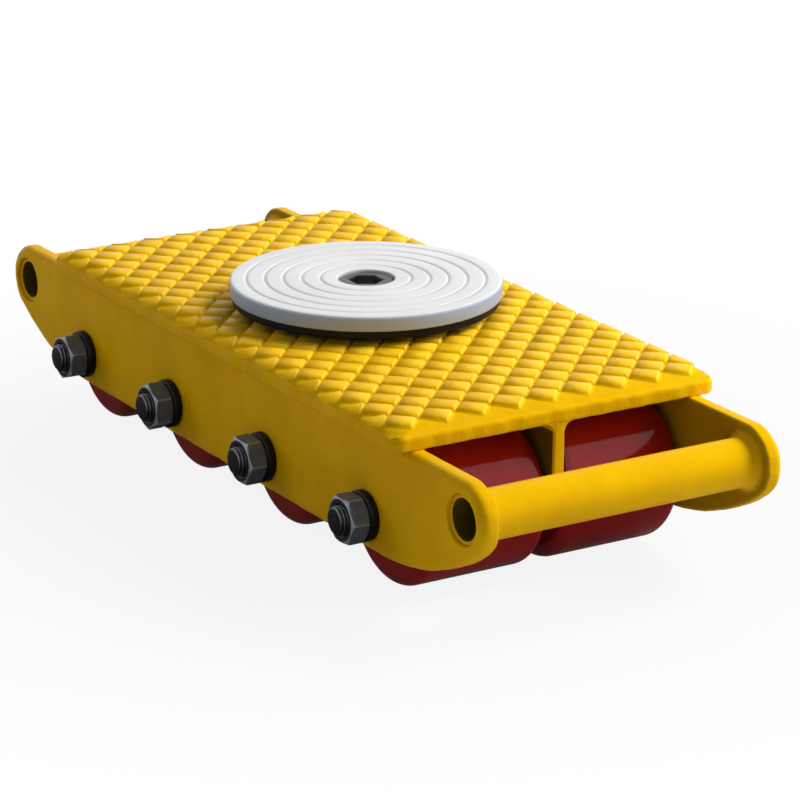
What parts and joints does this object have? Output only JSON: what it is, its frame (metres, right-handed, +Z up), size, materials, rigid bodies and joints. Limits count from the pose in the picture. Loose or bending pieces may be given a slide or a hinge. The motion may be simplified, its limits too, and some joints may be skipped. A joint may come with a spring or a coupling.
{
  "type": "machine skate",
  "caption": "Low machine skate: treaded cast deck on side plates and a centre rib, paired urethane rollers on through axles, a tie tube at each end and a swivelling round load plate.",
  "frame": {"origin": "on the ground, under the middle of the deck and midway between the two cross tubes", "axes": "+X along the skate towards its front, +Y to its left, +Z up"},
  "size_m": [0.5298, 0.224, 0.1163],
  "materials": {
    "yellow_paint": "gloss",
    "red_urethane": "gloss",
    "ground_steel": "satin",
    "dark_steel": "satin",
    "black_steel": "satin",
    "bare_steel": "satin",
    "black_rubber": "matte",
    "bronze": "satin"
  },
  "bodies": {
    "frame": {"frame_casting": "yellow_paint", "front_cross_tube": "yellow_paint", "rear_cross_tube": "yellow_paint", "axle_shaft_1": "dark_steel", "axle_shaft_2": "dark_steel", "axle_shaft_3": "dark_steel", "axle_shaft_4": "dark_steel", "axle_nuts": "dark_steel", "axle_lock_washers": "black_steel", "axle_collars": "bare_steel", "bearing_inner_rings": "bare_steel", "bearing_spacer_sleeves": "bare_steel", "pivot_screw": "dark_steel", "thrust_lower_race": "bare_steel"},
    "turntable": {"turntable_plate": "ground_steel", "turntable_skirt": "black_rubber", "turntable_bush": "bronze", "thrust_upper_race": "bare_steel"},
    "thrust_set": {"thrust_balls": "bare_steel", "thrust_cage": "bare_steel"},
    "roller_1_left": {"roller_tyre_1_left": "red_urethane", "roller_core_1_left": "bare_steel", "bearing_outer_rings_1_left": "bare_steel"},
    "ball_set_1_left": {"bearing_balls_1_left": "bare_steel", "bearing_cages_1_left": "bare_steel"},
    "roller_1_right": {"roller_tyre_1_right": "red_urethane", "roller_core_1_right": "bare_steel", "bearing_outer_rings_1_right": "bare_steel"},
    "ball_set_1_right": {"bearing_balls_1_right": "bare_steel", "bearing_cages_1_right": "bare_steel"},
    "roller_2_left": {"roller_tyre_2_left": "red_urethane", "roller_core_2_left": "bare_steel", "bearing_outer_rings_2_left": "bare_steel"},
    "ball_set_2_left": {"bearing_balls_2_left": "bare_steel", "bearing_cages_2_left": "bare_steel"},
    "roller_2_right": {"roller_tyre_2_right": "red_urethane", "roller_core_2_right": "bare_steel", "bearing_outer_rings_2_right": "bare_steel"},
    "ball_set_2_right": {"bearing_balls_2_right": "bare_steel", "bearing_cages_2_right": "bare_steel"},
    "roller_3_left": {"roller_tyre_3_left": "red_urethane", "roller_core_3_left": "bare_steel", "bearing_outer_rings_3_left": "bare_steel"},
    "ball_set_3_left": {"bearing_balls_3_left": "bare_steel", "bearing_cages_3_left": "bare_steel"},
    "roller_3_right": {"roller_tyre_3_right": "red_urethane", "roller_core_3_right": "bare_steel", "bearing_outer_rings_3_right": "bare_steel"},
    "ball_set_3_right": {"bearing_balls_3_right": "bare_steel", "bearing_cages_3_right": "bare_steel"},
    "roller_4_left": {"roller_tyre_4_left": "red_urethane", "roller_core_4_left": "bare_steel", "bearing_outer_rings_4_left": "bare_steel"},
    "ball_set_4_left": {"bearing_balls_4_left": "bare_steel", "bearing_cages_4_left": "bare_steel"},
    "roller_4_right": {"roller_tyre_4_right": "red_urethane", "roller_core_4_right": "bare_steel", "bearing_outer_rings_4_right": "bare_steel"},
    "ball_set_4_right": {"bearing_balls_4_right": "bare_steel", "bearing_cages_4_right": "bare_steel"}
  },
  "joints": [
    {"name": "turntable_swivel", "type": "hinge", "parent": "frame", "child": "turntable", "pos_m": [0, 0, 0.1077], "axis": [0, 0, 1], "continuous": true},
    {"name": "thrust_set_turn", "type": "hinge", "parent": "frame", "child": "thrust_set", "pos_m": [0, 0, 0.1047], "axis": [0, 0, 1], "continuous": true},
    {"name": "roller_1_left_spin", "type": "hinge", "parent": "frame", "child": "roller_1_left", "pos_m": [0.1545, 0, 0.041], "axis": [0, 1, 0], "continuous": true},
    {"name": "ball_set_1_left_spin", "type": "hinge", "parent": "frame", "child": "ball_set_1_left", "pos_m": [0.1545, 0, 0.041], "axis": [0, 1, 0], "continuous": true},
    {"name": "roller_1_right_spin", "type": "hinge", "parent": "frame", "child": "roller_1_right", "pos_m": [0.1545, 0, 0.041], "axis": [0, 1, 0], "continuous": true},
    {"name": "ball_set_1_right_spin", "type": "hinge", "parent": "frame", "child": "ball_set_1_right", "pos_m": [0.1545, 0, 0.041], "axis": [0, 1, 0], "continuous": true},
    {"name": "roller_2_left_spin", "type": "hinge", "parent": "frame", "child": "roller_2_left", "pos_m": [0.0475, 0, 0.041], "axis": [0, 1, 0], "continuous": true},
    {"name": "ball_set_2_left_spin", "type": "hinge", "parent": "frame", "child": "ball_set_2_left", "pos_m": [0.0475, 0, 0.041], "axis": [0, 1, 0], "continuous": true},
    {"name": "roller_2_right_spin", "type": "hinge", "parent": "frame", "child": "roller_2_right", "pos_m": [0.0475, 0, 0.041], "axis": [0, 1, 0], "continuous": true},
    {"name": "ball_set_2_right_spin", "type": "hinge", "parent": "frame", "child": "ball_set_2_right", "pos_m": [0.0475, 0, 0.041], "axis": [0, 1, 0], "continuous": true},
    {"name": "roller_3_left_spin", "type": "hinge", "parent": "frame", "child": "roller_3_left", "pos_m": [-0.0595, 0, 0.041], "axis": [0, 1, 0], "continuous": true},
    {"name": "ball_set_3_left_spin", "type": "hinge", "parent": "frame", "child": "ball_set_3_left", "pos_m": [-0.0595, 0, 0.041], "axis": [0, 1, 0], "continuous": true},
    {"name": "roller_3_right_spin", "type": "hinge", "parent": "frame", "child": "roller_3_right", "pos_m": [-0.0595, 0, 0.041], "axis": [0, 1, 0], "continuous": true},
    {"name": "ball_set_3_right_spin", "type": "hinge", "parent": "frame", "child": "ball_set_3_right", "pos_m": [-0.0595, 0, 0.041], "axis": [0, 1, 0], "continuous": true},
    {"name": "roller_4_left_spin", "type": "hinge", "parent": "frame", "child": "roller_4_left", "pos_m": [-0.1665, 0, 0.041], "axis": [0, 1, 0], "continuous": true},
    {"name": "ball_set_4_left_spin", "type": "hinge", "parent": "frame", "child": "ball_set_4_left", "pos_m": [-0.1665, 0, 0.041], "axis": [0, 1, 0], "continuous": true},
    {"name": "roller_4_right_spin", "type": "hinge", "parent": "frame", "child": "roller_4_right", "pos_m": [-0.1665, 0, 0.041], "axis": [0, 1, 0], "continuous": true},
    {"name": "ball_set_4_right_spin", "type": "hinge", "parent": "frame", "child": "ball_set_4_right", "pos_m": [-0.1665, 0, 0.041], "axis": [0, 1, 0], "continuous": true}
  ],
  "couplings": [
    {"joint": "thrust_set_turn", "follows": "turntable_swivel", "ratio": 0.5},
    {"joint": "ball_set_1_left_spin", "follows": "roller_1_left_spin", "ratio": 0.6119},
    {"joint": "ball_set_1_right_spin", "follows": "roller_1_right_spin", "ratio": 0.6119},
    {"joint": "ball_set_2_left_spin", "follows": "roller_2_left_spin", "ratio": 0.6119},
    {"joint": "ball_set_2_right_spin", "follows": "roller_2_right_spin", "ratio": 0.6119},
    {"joint": "ball_set_3_left_spin", "follows": "roller_3_left_spin", "ratio": 0.6119},
    {"joint": "ball_set_3_right_spin", "follows": "roller_3_right_spin", "ratio": 0.6119},
    {"joint": "ball_set_4_left_spin", "follows": "roller_4_left_spin", "ratio": 0.6119},
    {"joint": "ball_set_4_right_spin", "follows": "roller_4_right_spin", "ratio": 0.6119}
  ]
}
